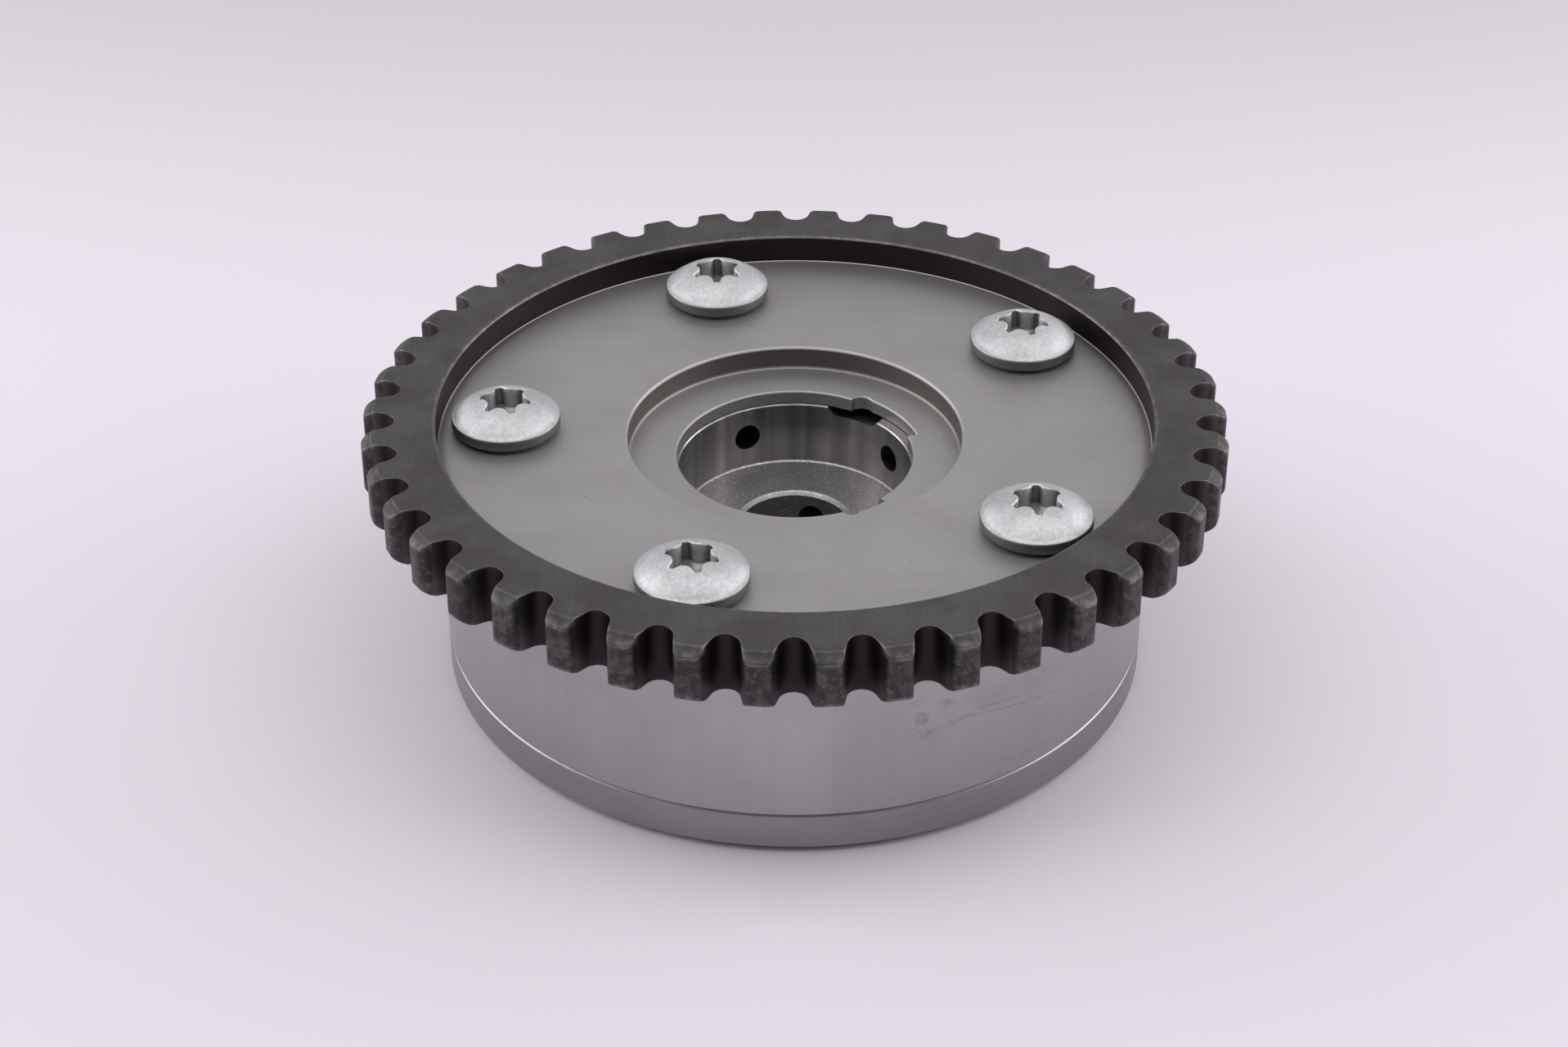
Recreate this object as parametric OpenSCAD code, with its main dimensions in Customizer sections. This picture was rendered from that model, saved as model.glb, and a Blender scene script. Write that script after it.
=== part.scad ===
// Hydraulic vane cam phaser with a chain sprocket ring.
// Millimetres, +Z up the axis of the camshaft. The part stands on its rear cover, with the camshaft side up.
// Angles are in degrees about +Z from +X. A tooth of the sprocket is centred on +X.

/* [Sprocket ring] */
// Pitch of the timing chain
chain_pitch = 8; // [7:0.05:9.525]
// Least wall of the ring under the tooth roots
ring_wall = 5.2; // [4:0.1:8]
// Radius of the round bottom between two teeth
root_round = 1.75; // [1.4:0.05:2]
// Depth of the tooth root below the pitch circle
dedendum = 2.5; // [2:0.05:3]
// Height of the tooth tip above the pitch circle
addendum = 1.67; // [1.2:0.05:2]
// Angle at which a tooth flank leans away from the radial line
flank_flare = 18; // [12:0.5:20]
// How far a tooth's rounded corner reaches along its flank and its tip
tip_round = 0.8; // [0.3:0.05:1]
// Axial length of the ring
ring_h = 7.9; // [6.5:0.1:8.6]
// Height of the ring above the front cover's face
ring_proud = 3.8; // [2.5:0.1:4.5]
// Radial width of the chamfer at the tooth tips
tooth_chamfer_w = 1.4; // [0.5:0.1:2]
// Axial height of the chamfer at the tooth tips
tooth_chamfer_h = 1; // [0.5:0.1:2]
// Chamfer at the ring's bore
ring_edge = 0.45; // [0.2:0.05:0.8]

/* [Housing] */
// Outer diameter of the covers and the stator
body_d = 91.5; // [84:0.25:102]
// Axial length of the stator
stator_h = 21.5; // [19:0.5:28]
// Wall between a chamber and the outside
wall_t = 4; // [3:0.1:4.8]
// Thickness of the front cover
front_t = 5; // [4.4:0.1:7]
// Thickness of the rear cover
rear_t = 5.7; // [5:0.1:8]
// Chamfer on the edges that meet at the seams
seam_edge = 0.2; // [0.1:0.05:0.4]
// Chamfer on the front cover's upper edge
front_edge = 0.4; // [0.2:0.05:0.8]
// Chamfer on the rear cover's lower edge
base_edge = 1; // [0.2:0.05:1.2]
// Clearance of the front cover's bore round the camshaft's end
cover_gap = 0.2; // [0.2:0.05:0.5]
// Diameter of the recess in the front cover
recess_d = 42.8; // [38:0.2:48]
// Depth of the recess in the front cover
recess_depth = 3.15; // [2.4:0.05:3.6]
// Slant in the corner at the recess's foot
recess_foot = 0.35; // [0.1:0.05:0.6]
// Diameter of the opening in the rear cover
rear_hole_d = 40; // [34:0.5:44]
// Chamfer on the mouths of the recess and the rear opening
mouth_edge = 0.35; // [0.1:0.05:0.6]

/* [Drain pockets in the front cover's bore] */
// Angle of the long pocket's square end
long_pocket_start = 15.3; // [5:0.1:25]
// Angle that the long pocket spans
long_pocket_span = 45; // [30:1:60]
// Depth of the long pocket
long_pocket_depth = 1.25; // [0.4:0.05:2]
// Angle of the short pocket's square end
short_pocket_start = 314.3; // [300:0.1:330]
// Angle that the short pocket spans
short_pocket_span = 21; // [12:1:30]
// Depth of the short pocket
short_pocket_depth = 0.9; // [0.4:0.05:2]
// How far the round end of a pocket reaches past its depth
pocket_bulge = 0.25; // [0.1:0.05:0.5]

/* [Camshaft seat in the rotor] */
// Diameter of the bore for the camshaft's end
cam_bore_d = 30; // [26:0.25:33]
// Depth of the bore for the camshaft's end
cam_bore_depth = 8.85; // [7:0.05:10]
// Chamfer at the mouth of the camshaft bore
cam_bore_edge = 0.45; // [0.1:0.05:0.6]
// Slant in the corner at the camshaft bore's foot
cam_bore_foot = 0.2; // [0.1:0.05:0.4]
// Diameter of the hole for the camshaft bolt
bolt_hole_d = 14.2; // [10:0.1:16]
// Chamfer at the mouth of the bolt hole
bolt_hole_edge = 0.5; // [0.2:0.05:1]
// Diameter of the seat for the bolt's head
bolt_seat_d = 25; // [20:0.25:28]
// Depth of the seat for the bolt's head
bolt_seat_depth = 5; // [2:0.1:6]

/* [Rotor and chambers] */
// Diameter of the rotor's hub
hub_d = 55; // [52:0.5:56]
// Angle through which the rotor turns
phase_range = 25; // [20:1:28]
// Angle of a plain vane
vane_deg = 16; // [13:0.5:19]
// Angle of the vane that holds the lock pin
pin_vane_deg = 24.8; // [23:0.2:26]
// Angle left free at each end of the rotor's travel
stop_gap = 0.5; // [0.2:0.1:1]
// Width of the slanted corners at the vane roots and in the chambers, and of the chamfers that clear them
corner_w = 0.8; // [0.4:0.1:1.2]
// Running clearance of the rotor in the housing
run_gap = 0.05; // [0.02:0.01:0.1]

/* [Tip seals] */
// Width of a tip seal
seal_w = 2.8; // [2:0.1:3.6]
// Radial height of a tip seal
seal_h = 2.4; // [1.8:0.1:2.8]
// Clearance of a tip seal in its slot
seal_gap = 0.04; // [0.02:0.01:0.1]
// Thickness of a seal spring
leaf_t = 0.25; // [0.15:0.05:0.35]
// Bow of a seal spring
leaf_bow = 0.55; // [0.3:0.05:0.8]
// Length of a seal spring
leaf_len = 17; // [12:0.5:18]

/* [Lock pin] */
// Distance of the lock pin's axis from the vanes' tips
pin_inset = 9.2; // [8.7:0.1:10]
// Diameter of the lock pin
pin_d = 8.3; // [7.2:0.1:8.8]
// Diameter of the lock pin's nose
nose_d = 6.2; // [5:0.1:6.6]
// Length of the lock pin's nose
nose_len = 6.6; // [5.5:0.1:8]
// Depth that the nose enters its bush
lock_depth = 3; // [2:0.1:3.4]
// Stroke by which the pin lifts clear of the rear cover
pin_lift = 1; // [0.6:0.1:2]
// Clearance of the lock pin in its bore
pin_gap = 0.05; // [0.02:0.01:0.1]
// Wall of the lock pin round its spring
pin_wall = 1.25; // [1:0.05:1.6]
// Length of the solid part of the pin above its nose
pin_solid = 2; // [1.5:0.1:4]
// Thickness of the cap over the spring
cap_t = 1.2; // [0.8:0.1:2]
// Diameter of the vent hole in the cap
cap_vent_d = 2.2; // [1:0.1:3]
// Wire of the lock spring
lock_wire = 0.7; // [0.5:0.05:0.8]
// Turns of the lock spring
lock_turns = 6; // [4:0.5:8]
// Wall of the bush that takes the nose
bush_wall = 1.75; // [1.2:0.05:2.2]
// Depth of the vent groove in the rotor's face
vent_depth = 1.05; // [0.6:0.05:1.4]
// Width of the vent groove at its floor
vent_w = 5.7; // [4:0.1:6.4]

/* [Oil holes] */
// Diameter of the oil holes
oil_d = 3.6; // [2.5:0.1:4]
// Depth of the front row of oil holes below the rotor's rim
oil_front_depth = 4.3; // [3.4:0.1:6]
// Depth of the rear row of oil holes below the camshaft bore's floor
oil_rear_depth = 3.7; // [2.6:0.1:5]
// Angle of a front oil hole ahead of its plain vane
oil_front_lead = 15.3; // [13:0.1:17]
// Angle of the front oil hole ahead of the lock pin's vane
oil_pin_lead = 24.6; // [22:0.1:27]
// Angle of a rear oil hole behind its vane
oil_rear_lag = 12.6; // [11:0.1:16]

/* [Cover screws] */
// Nominal diameter of the screws
screw_d = 8; // [6:0.5:8.5]
// Distance of the screws' ends from the rear cover's outer face
screw_short = 2.2; // [0.5:0.1:3]
// Distance of the screws' axes from the housing's outside
screw_inset = 8.65; // [8:0.05:9.5]
// Angle of the first screw
screw_start = 34.9; // [20:0.1:45]
// Diameter of the screw heads
head_d = 14; // [12:0.1:14.8]
// Height of the slant under the head, from its bearing face to its edge
head_foot = 0.75; // [0.3:0.05:1]
// Thickness of the head at its edge
head_edge = 1.2; // [0.8:0.1:2]
// Height of the head's dome above its edge
head_dome = 2.8; // [2:0.1:3.2]
// Width of the dome's flat rim at the head's edge
head_rim = 0.2; // [0.1:0.05:0.8]
// Diameter of the six-lobe recess over its lobes
drive_d = 6.75; // [5:0.05:7.5]
// Depth of the six-lobe recess below the top of the dome
drive_depth = 2.8; // [1.8:0.1:3.2]
// Turn of each screw's recess from the radial line
drive_turns = [43, 14, 21, 4, 37]; // [0:1:60]
// Clearance round a screw in the front cover and the stator
screw_gap = 0.3; // [0.1:0.05:0.5]

/* [Hidden] */
$fn = 120;

// Clearance of pressed and threaded fits, and how far a cut runs past the face that it opens
fit_gap = 0.01;
past = 1;

// Chambers, vanes, webs and screws share one count and one pitch
chambers = 5;
chamber_pitch = 360 / chambers;

// Heights of the faces, from the surface that the part stands on
stator_z = rear_t;
front_z = stator_z + stator_h;
face_z = front_z + front_t;
recess_z = face_z - recess_depth;
ring_top_z = face_z + ring_proud;
ring_z = ring_top_z - ring_h;
rotor_z = stator_z + run_gap;
rotor_h = stator_h - 2 * run_gap;
rim_z = rotor_z + rotor_h;
cam_floor_z = rim_z - cam_bore_depth;

// Sprocket radii: the ring has the fewest teeth that leave it its wall
body_r = body_d / 2;
ring_bore_r = body_r + fit_gap;
least_pitch_r = ring_bore_r + ring_wall + dedendum;
teeth = ceil(180 / asin(chain_pitch / 2 / least_pitch_r));
pitch_r = chain_pitch / 2 / sin(180 / teeth);
root_r = pitch_r - dedendum;
tip_r = pitch_r + addendum;

// Housing radii
chamber_r = body_r - wall_t;
hub_r = hub_d / 2;
vane_r = chamber_r - run_gap;
cam_bore_r = cam_bore_d / 2;
cover_bore_r = cam_bore_r + cover_gap;
screw_circle_r = body_r - screw_inset;
screw_hole_r = screw_d / 2 + screw_gap;
screw_len = face_z - screw_short;

// Angles of the stator's webs and of the rotor's vanes, with the rotor at the parked end of its travel
web_deg = chamber_pitch - phase_range - 2 * stop_gap - pin_vane_deg;
pin_angle = screw_start + (web_deg + pin_vane_deg) / 2 + stop_gap;
function web_angle(i) = screw_start + i * chamber_pitch;
function vane_angle(i) = pin_angle + i * chamber_pitch;
function vane_width(i) = i == 0 ? pin_vane_deg : vane_deg;

// Seal slots
seal_r = vane_r - seal_h;
slot_r = seal_r - leaf_t - leaf_bow - 2 * seal_gap;
slot_w = seal_w + 2 * seal_gap;

// Lock pin heights: the nose rides on the rear cover
pin_circle_r = vane_r - pin_inset;
pin_r = pin_d / 2;
nose_r = nose_d / 2;
pin_bore_r = pin_r + pin_gap;
nose_bore_r = nose_r + pin_gap;
nose_z = rotor_z + run_gap;
shoulder_z = nose_z + nose_len;
step_z = shoulder_z - lock_depth - 2 * run_gap;
vent_z = rim_z - vent_depth;
cap_z = vent_z - cap_t;
pin_top_z = cap_z - pin_lift - 2 * run_gap;
spring_z = shoulder_z + pin_solid;
spring_seat_r = pin_r - pin_wall;
lock_coil_r = spring_seat_r - lock_wire / 2 - 3 * pin_gap;

// Lock bush, sunk by the depth of the oil groove that leads to it
groove_depth = 0.6;
groove_w = 1.6;
bush_in_r = nose_r + 3 * pin_gap;
bush_out_r = bush_in_r + bush_wall;
bush_z = stator_z - groove_depth - lock_depth;

// A disc with a chamfer on each outer edge
module edged_disc(r, h, low, high) {
    rotate_extrude()
        polygon([[0, 0], [r - low, 0], [r, low], [r, h - high], [r - high, h], [0, h]]);
}

// A straight bore from z = 0 to h, with a chamfer at each mouth and an overrun past it
module edged_bore(r, h, low, high) {
    rotate_extrude()
        polygon([
            [0, -past], [r + low, -past], [r + low, 0], [r, low],
            [r, h - high], [r + high, h], [r + high, h + past], [0, h + past]]);
}

// A blind bore upward from z = 0, with a slanted corner at its foot and a chamfer at its mouth
module edged_bore_blind(r, h, foot, edge) {
    rotate_extrude()
        polygon([
            [0, 0], [r - foot, 0], [r, foot],
            [r, h - edge], [r + edge, h], [r + edge, h + past], [0, h + past]]);
}

// The outline between two radial lines, centred on +X and longer than the housing's radius
module sector(deg) {
    reach = body_r + past;
    side = reach * tan(deg / 2);
    polygon([[0, 0], [reach, -side], [reach, side]]);
}

// A copy of the children on each flank of a sector, with +X along the flank and +Y out of the sector
module on_flanks(angle, deg) {
    rotate(angle) for (side = [0, 1]) mirror([0, side, 0]) rotate(deg / 2) children();
}

// A triangle over the corner of a flank and a circle: on the circle's inside for way 1, on its outside for way -1
module corner(r, way) {
    far_r = r + way * past;
    reach = corner_w + past;
    polygon([[r - way * reach, -past], [far_r, -past], [far_r, reach]]);
}

// A copy of the children at each screw
module at_screws() {
    for (i = [0:chambers - 1])
        rotate(web_angle(i)) translate([screw_circle_r, 0, 0]) children();
}

// The space between two teeth: a round bottom that runs into the flanks, and a rounded corner on each tooth's tip
module tooth_gap() {
    lean = [cos(flank_flare), sin(flank_flare)];
    flank_r = root_round - 3 * fit_gap;
    foot = [root_r + root_round - flank_r * lean.y, flank_r * lean.x];
    run = sqrt(pow(foot * lean, 2) + tip_r * tip_r - foot * foot) - foot * lean;
    corner = foot + run * lean;
    low = corner - tip_round * lean;
    high_deg = atan2(corner.y, corner.x) + tip_round / tip_r * 180 / PI;
    high = tip_r * [cos(high_deg), sin(high_deg)];
    steps = 3;
    curve = [for (k = [0:steps - 1]) let (t = k / steps)
        (1 - t) * (1 - t) * low + 2 * t * (1 - t) * corner + t * t * high];
    over = 2 * high - curve[steps - 1];
    side = concat([foot], curve, [over, (1 + 2 * past / tip_r) * over]);
    translate([root_r + root_round, 0]) circle(root_round, $fn = 48);
    polygon(concat(side, [for (k = [len(side) - 1:-1:0]) [side[k].x, -side[k].y]]));
}

// Hardened sprocket ring, pressed onto the front cover and chamfered at the tooth tips
module sprocket_ring() {
    color("#4a4648") translate([0, 0, ring_z]) intersection() {
        linear_extrude(ring_h) difference() {
            circle(tip_r + past);
            for (i = [0:teeth - 1]) rotate((i + 0.5) * 360 / teeth) tooth_gap();
        }
        rotate_extrude()
            polygon([
                [ring_bore_r, ring_edge], [ring_bore_r + ring_edge, 0],
                [tip_r - tooth_chamfer_w, 0], [tip_r, tooth_chamfer_h],
                [tip_r, ring_h - tooth_chamfer_h], [tip_r - tooth_chamfer_w, ring_h],
                [ring_bore_r + ring_edge, ring_h], [ring_bore_r, ring_h - ring_edge]]);
    }
}

// A pocket in the front cover's bore: an arc from a square end to a round one, which lies span degrees on
module drain_pocket(square_end, span, depth) {
    round_r = depth + pocket_bulge;
    round_deg = asin(round_r / cover_bore_r);
    way = sign(span);
    arc = abs(span) - round_deg;
    translate([0, 0, -past]) {
        rotate(square_end + way * arc / 2) intersection() {
            cylinder(r = cover_bore_r + depth, h = front_t);
            linear_extrude(front_t) sector(arc);
        }
        rotate(square_end + way * arc) translate([cover_bore_r, 0, 0])
            cylinder(r = round_r, h = front_t, $fn = 48);
    }
}

// Front cover: a ground plate with a recess for the camshaft's shoulder
module front_cover() {
    lip = recess_z - front_z;
    color("#a4a1a6") translate([0, 0, front_z]) difference() {
        edged_disc(body_r, front_t, seam_edge, front_edge);
        edged_bore(cover_bore_r, lip, 0, seam_edge);
        translate([0, 0, lip]) edged_bore_blind(recess_d / 2, recess_depth, recess_foot, mouth_edge);
        drain_pocket(long_pocket_start, long_pocket_span, long_pocket_depth);
        drain_pocket(short_pocket_start, -short_pocket_span, short_pocket_depth);
        at_screws() translate([0, 0, -past]) cylinder(r = screw_hole_r, h = front_t + 2 * past);
    }
}

// Stator: a sintered ring whose inward webs part the chambers and run on the rotor's hub
module stator() {
    color("#8f8b90") translate([0, 0, stator_z]) difference() {
        edged_disc(body_r, stator_h, seam_edge, seam_edge);
        translate([0, 0, -past]) linear_extrude(stator_h + 2 * past) {
            difference() {
                circle(chamber_r);
                for (i = [0:chambers - 1]) {
                    rotate(web_angle(i)) sector(web_deg);
                    on_flanks(web_angle(i), web_deg) corner(chamber_r, 1);
                }
            }
            circle(hub_r + run_gap);
            for (i = [0:chambers - 1])
                on_flanks(web_angle(i), web_deg) mirror([0, 1, 0]) corner(hub_r + run_gap, -1);
        }
        at_screws() translate([0, 0, -past]) cylinder(r = screw_hole_r, h = stator_h + 2 * past);
    }
}

// Rear cover: a plate that the screws thread into, with the lock bush's pocket and its oil groove
module rear_cover() {
    groove_deg = pin_vane_deg / 2 + stop_gap;
    color("#8f8b90") difference() {
        edged_disc(body_r, rear_t, base_edge, seam_edge);
        edged_bore(rear_hole_d / 2, rear_t, mouth_edge, mouth_edge);
        at_screws() translate([0, 0, -past]) cylinder(r = screw_d / 2, h = rear_t + 2 * past);
        rotate(pin_angle) translate([pin_circle_r, 0, bush_z]) cylinder(r = bush_out_r, h = rear_t);
        rotate([0, 0, pin_angle - groove_deg])
            rotate_extrude(angle = groove_deg)
                translate([pin_circle_r - groove_w / 2, rear_t - groove_depth]) square([groove_w, rear_t]);
    }
}

// The six-lobe recess of a screw head
module six_lobe(h) {
    scallop_r = 0.213 * drive_d;
    scallop_x = 0.356 * drive_d + scallop_r;
    linear_extrude(h) difference() {
        circle(drive_d / 2, $fn = 48);
        for (i = [0:5]) rotate(i * 60) translate([scallop_x, 0]) circle(scallop_r, $fn = 32);
    }
}

// One cover screw, with its bearing face at z = 0: a domed head, slanted in at its foot, with a six-lobe recess
module cover_screw(turn) {
    dome_r = head_d / 2 - head_rim;
    ball_r = (dome_r * dome_r + head_dome * head_dome) / 2 / head_dome;
    dome_z = head_foot + head_edge;
    top = dome_z + head_dome;
    point = screw_d / 8;
    difference() {
        union() {
            edged_disc(head_d / 2, dome_z, head_foot, 0);
            translate([0, 0, dome_z]) intersection() {
                translate([0, 0, head_dome - ball_r]) sphere(ball_r);
                cylinder(r = dome_r, h = head_dome);
            }
        }
        translate([0, 0, top - drive_depth]) rotate(turn) six_lobe(drive_depth + past);
    }
    translate([0, 0, -screw_len]) edged_disc(screw_d / 2 - fit_gap, screw_len, point, 0);
}

// The five cover screws, each stopped with its recess at another angle
module cover_screws() {
    color("#d6d5d8") translate([0, 0, face_z])
        for (i = [0:chambers - 1])
            rotate(web_angle(i)) translate([screw_circle_r, 0, 0]) cover_screw(drive_turns[i]);
}

// A radial drilling from inside a bore out past the hub
module oil_hole(angle, z) {
    rotate(angle) translate([0, 0, z]) rotate([0, 90, 0]) cylinder(d = oil_d, h = hub_r + past, $fn = 48);
}

// The groove in the rotor's upper face that vents the lock spring's room to the camshaft bore
module vent_groove() {
    top_w = vent_w + 2 * (vent_depth + past);
    rotate(pin_angle) translate([0, 0, vent_z]) rotate([90, 0, 90])
        linear_extrude(pin_circle_r)
            polygon([
                [-vent_w / 2, 0], [vent_w / 2, 0],
                [top_w / 2, vent_depth + past], [-top_w / 2, vent_depth + past]]);
}

// The outline of one vane, thickened at the corners of its root and chamfered at its tip
module vane(angle, deg) {
    difference() {
        union() {
            intersection() {
                circle(vane_r);
                rotate(angle) sector(deg);
            }
            on_flanks(angle, deg) corner(hub_r, -1);
        }
        on_flanks(angle, deg) mirror([0, 1, 0]) corner(vane_r, 1);
    }
}

// Rotor: a hub with five vanes, bored for the camshaft, its bolt, the oil and the lock pin
module rotor() {
    color("#77737a") difference() {
        translate([0, 0, rotor_z]) union() {
            cylinder(r = hub_r, h = rotor_h);
            for (i = [0:chambers - 1]) linear_extrude(rotor_h) vane(vane_angle(i), vane_width(i));
        }
        rotate(pin_angle) translate([0, 0, cam_floor_z])
            edged_bore_blind(cam_bore_r, cam_bore_depth, cam_bore_foot, cam_bore_edge);
        translate([0, 0, rotor_z])
            edged_bore(bolt_hole_d / 2, cam_floor_z - rotor_z, 0, bolt_hole_edge);
        translate([0, 0, rotor_z - past]) cylinder(d = bolt_seat_d, h = bolt_seat_depth + past);
        for (i = [0:chambers - 1]) {
            rotate(vane_angle(i)) translate([slot_r, -slot_w / 2, rotor_z - past])
                cube([seal_h + body_r, slot_w, rotor_h + 2 * past]);
            lead = i == 0 ? oil_pin_lead : oil_front_lead;
            oil_hole(vane_angle(i) - lead, rim_z - oil_front_depth);
            oil_hole(vane_angle(i) + oil_rear_lag, cam_floor_z - oil_rear_depth);
        }
        rotate(pin_angle) translate([pin_circle_r, 0, 0]) {
            translate([0, 0, rotor_z - past]) cylinder(r = nose_bore_r, h = rotor_h);
            translate([0, 0, step_z]) cylinder(r = pin_bore_r, h = rotor_h);
        }
        vent_groove();
    }
}

// A tip seal: a strip in a vane's slot that bears on the chamber's wall
module tip_seal(i) {
    color("#3a3430") intersection() {
        translate([0, 0, rotor_z]) cylinder(r = vane_r, h = rotor_h);
        rotate(vane_angle(i)) translate([seal_r, -seal_w / 2, rotor_z])
            cube([2 * seal_h, seal_w, rotor_h]);
    }
}

// A seal spring: a bowed strip between a slot's floor and its seal
module seal_spring(i) {
    bow_r = (leaf_len * leaf_len / 4 + leaf_bow * leaf_bow) / 2 / leaf_bow;
    low_r = slot_r + seal_gap;
    color("#b8b4b0") rotate(vane_angle(i)) translate([low_r, 0, rotor_z + rotor_h / 2])
        rotate([90, 0, 0]) linear_extrude(seal_w - 4 * seal_gap, center = true)
            intersection() {
                difference() {
                    translate([bow_r, 0]) circle(bow_r, $fn = 360);
                    translate([bow_r, 0]) circle(bow_r - leaf_t, $fn = 360);
                }
                translate([0, -leaf_len / 2]) square([leaf_bow + leaf_t, leaf_len]);
            }
}

// Lock pin: a hollow plunger with a stepped nose
module lock_pin() {
    color("#9a979c") rotate(pin_angle) translate([pin_circle_r, 0, 0]) difference() {
        union() {
            translate([0, 0, nose_z]) edged_disc(nose_r, nose_len + past, mouth_edge, 0);
            translate([0, 0, shoulder_z]) edged_disc(pin_r, pin_top_z - shoulder_z, seam_edge, seam_edge);
        }
        translate([0, 0, spring_z]) cylinder(r = spring_seat_r, h = pin_top_z);
    }
}

// Points of the lock spring's centre line: the end turns lie close, the others share the rest
function coil_z(t, low, high) =
    let (
        rise = lock_wire * 1.1,
        open = (high - low - 2 * rise) / (lock_turns - 2))
    t < 1 ? low + rise * t
    : t > lock_turns - 1 ? high - rise * (lock_turns - t)
    : low + rise + open * (t - 1);

// Lock spring: a round-wire coil between the pin and its cap
module lock_spring() {
    steps = 18;
    sides = 8;
    rings = steps * lock_turns;
    low = spring_z + lock_wire / 2 + run_gap;
    high = cap_z - lock_wire / 2 - run_gap;
    points = [
        for (k = [0:rings]) for (s = [0:sides - 1])
            let (
                turn = 360 * k / steps,
                r = lock_coil_r + lock_wire / 2 * cos(360 * s / sides),
                z = coil_z(k / steps, low, high) + lock_wire / 2 * sin(360 * s / sides))
            [r * cos(turn), r * sin(turn), z]];
    sides_faces = [
        for (k = [0:rings - 1]) for (s = [0:sides - 1])
            let (a = k * sides + s, b = k * sides + (s + 1) % sides)
            [a, b, b + sides, a + sides]];
    ends = [
        [for (s = [sides - 1:-1:0]) s],
        [for (s = [0:sides - 1]) rings * sides + s]];
    color("#b8b4b0") rotate(pin_angle) translate([pin_circle_r, 0, 0])
        polyhedron(points, concat(sides_faces, ends));
}

// Cap pressed into the pin's bore over the spring, with a vent
module lock_cap() {
    color("#9a979c") rotate(pin_angle) translate([pin_circle_r, 0, cap_z]) difference() {
        cylinder(r = pin_bore_r - fit_gap, h = cap_t);
        translate([0, 0, -past]) cylinder(d = cap_vent_d, h = cap_t + 2 * past, $fn = 48);
    }
}

// Hard bush in the rear cover that takes the pin's nose when the rotor is parked
module lock_bush() {
    color("#6a676c") rotate(pin_angle) translate([pin_circle_r, 0, bush_z]) difference() {
        cylinder(r = bush_out_r - fit_gap, h = lock_depth);
        edged_bore(bush_in_r, lock_depth, 0, seam_edge);
    }
}

sprocket_ring();
front_cover();
stator();
rear_cover();
cover_screws();
rotor();
for (i = [0:chambers - 1]) {
    tip_seal(i);
    seal_spring(i);
}
lock_pin();
lock_spring();
lock_cap();
lock_bush();
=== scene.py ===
import math

import bmesh
import bpy
from mathutils import Matrix, Vector


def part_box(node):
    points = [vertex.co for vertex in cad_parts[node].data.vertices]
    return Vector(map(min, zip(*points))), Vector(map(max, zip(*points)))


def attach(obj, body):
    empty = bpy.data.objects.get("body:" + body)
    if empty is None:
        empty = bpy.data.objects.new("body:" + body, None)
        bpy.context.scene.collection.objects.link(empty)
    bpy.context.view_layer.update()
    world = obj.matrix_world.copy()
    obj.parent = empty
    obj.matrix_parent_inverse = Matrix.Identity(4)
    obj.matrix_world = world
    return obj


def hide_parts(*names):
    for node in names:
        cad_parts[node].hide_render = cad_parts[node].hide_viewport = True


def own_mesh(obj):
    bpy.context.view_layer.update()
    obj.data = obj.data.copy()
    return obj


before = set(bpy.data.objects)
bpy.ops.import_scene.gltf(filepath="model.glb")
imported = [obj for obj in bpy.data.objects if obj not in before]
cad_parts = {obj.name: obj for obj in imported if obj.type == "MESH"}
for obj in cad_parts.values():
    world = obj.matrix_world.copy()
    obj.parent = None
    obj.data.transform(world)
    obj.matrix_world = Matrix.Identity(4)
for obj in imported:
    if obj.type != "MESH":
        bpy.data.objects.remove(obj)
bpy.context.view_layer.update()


# Rear cover
# A ground steel plate that the housing stands on, turned all over, with a chamfer at its lower rim.
# The five cover screws thread into it from above, and the camshaft bolt's head goes in through
# its middle.

MM = 0.001
SIDES = 288
HOLE_SIDES = 48

rear_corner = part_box("rear_cover")[1] / MM
body_r = rear_corner.x
rear_t = rear_corner.z
base_edge = 1.0
seam_edge = 0.2
soft_edge = 0.09
rear_hole_r = 20
mouth_edge = 0.35

screw_count = 5
screw_start = 34.9
screw_r = 4
screw_inset = 8.65
screw_circle_r = body_r - screw_inset

pin_angle = 58.4
pin_circle_r = 32.5
bush_r = 5
bush_depth = 3.6
groove_w = 1.6
groove_depth = 0.6
groove_deg = 12.9
groove_steps = 8

thread_pitch = 1.25
thread_depth = 0.45


def around(radius, degrees, height=0.0):
    """The point at that radius and angle about the camshaft's axis."""
    angle = math.radians(degrees)
    return Vector((radius * math.cos(angle), radius * math.sin(angle), height))


def rounded(corners, radius, steps=3):
    """A closed outline in which each corner is a small curve of about that radius."""
    points = []
    for k, corner in enumerate(corners):
        here = Vector(corner)
        before = Vector(corners[k - 1]) - here
        after = Vector(corners[(k + 1) % len(corners)]) - here
        reach = min(radius, 0.45 * before.length, 0.45 * after.length)
        start = here + before.normalized() * reach
        end = here + after.normalized() * reach
        for step in range(steps + 1):
            t = step / steps
            points.append(start * (1 - t) ** 2 + here * (2 * t * (1 - t)) + end * t ** 2)
    return points


def new_piece(name, points, faces):
    """A closed mesh from points in millimetres, with doubles merged and faces turned outwards."""
    mesh = bpy.data.meshes.new(name)
    mesh.from_pydata([Vector(point) * MM for point in points], [], faces)
    shell = bmesh.new()
    shell.from_mesh(mesh)
    bmesh.ops.remove_doubles(shell, verts=shell.verts, dist=1e-7)
    bmesh.ops.dissolve_degenerate(shell, edges=shell.edges, dist=1e-7)
    bmesh.ops.recalc_face_normals(shell, faces=shell.faces)
    shell.to_mesh(mesh)
    shell.free()
    piece = bpy.data.objects.new(name, mesh)
    bpy.context.scene.collection.objects.link(piece)
    return piece


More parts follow.
